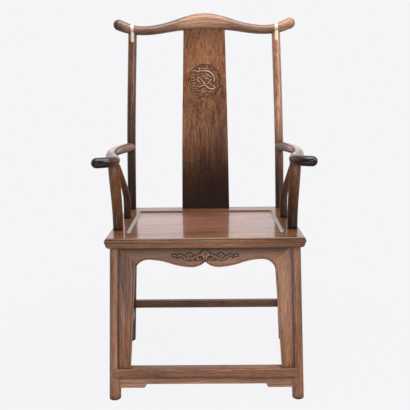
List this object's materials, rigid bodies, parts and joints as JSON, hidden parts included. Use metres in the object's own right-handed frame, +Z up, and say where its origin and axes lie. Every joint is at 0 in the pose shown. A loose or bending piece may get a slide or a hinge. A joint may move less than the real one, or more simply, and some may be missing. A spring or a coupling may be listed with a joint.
{
  "type": "official hat chair",
  "caption": "High-backed wooden armchair with a yoke crest rail, S-curved splat, protruding arms, sunk seat panel, arched aprons and a footrest.",
  "frame": {"origin": "on the floor, at the middle of the chair's outer box", "axes": "+X to the chair's right side in a view from the front, +Y to the back, +Z up"},
  "size_m": [0.6446, 0.5318, 1.196],
  "materials": {
    "rosewood": "polished and waxed, straight grain",
    "figured_rosewood": "polished and waxed, bold figured grain",
    "white_brass": "pale, worn satin"
  },
  "bodies": {
    "root": {"crest_rail": "rosewood", "rear_leg_left": "rosewood", "rear_leg_right": "rosewood", "front_leg_left": "rosewood", "front_leg_right": "rosewood", "armrest_left": "rosewood", "armrest_right": "rosewood", "gooseneck_left": "rosewood", "gooseneck_right": "rosewood", "side_post_left": "rosewood", "side_post_right": "rosewood", "arm_spandrel_left": "rosewood", "arm_spandrel_right": "rosewood", "seat_rail_front": "rosewood", "seat_rail_rear": "rosewood", "seat_rail_left": "rosewood", "seat_rail_right": "rosewood", "seat_batten_left": "rosewood", "seat_batten_right": "rosewood", "front_apron": "rosewood", "front_stile_left": "rosewood", "front_stile_right": "rosewood", "side_apron_left": "rosewood", "side_apron_right": "rosewood", "side_stile_left_front": "rosewood", "side_stile_left_rear": "rosewood", "side_stile_right_front": "rosewood", "side_stile_right_rear": "rosewood", "rear_apron": "rosewood", "footrest": "rosewood", "footrest_apron": "rosewood", "side_stretcher_left": "rosewood", "side_stretcher_right": "rosewood", "rear_stretcher": "rosewood", "splat": "figured_rosewood", "seat_panel": "figured_rosewood", "crest_strap_left": "white_brass", "crest_strap_right": "white_brass", "strap_nails": "white_brass"}
  },
  "joints": []
}
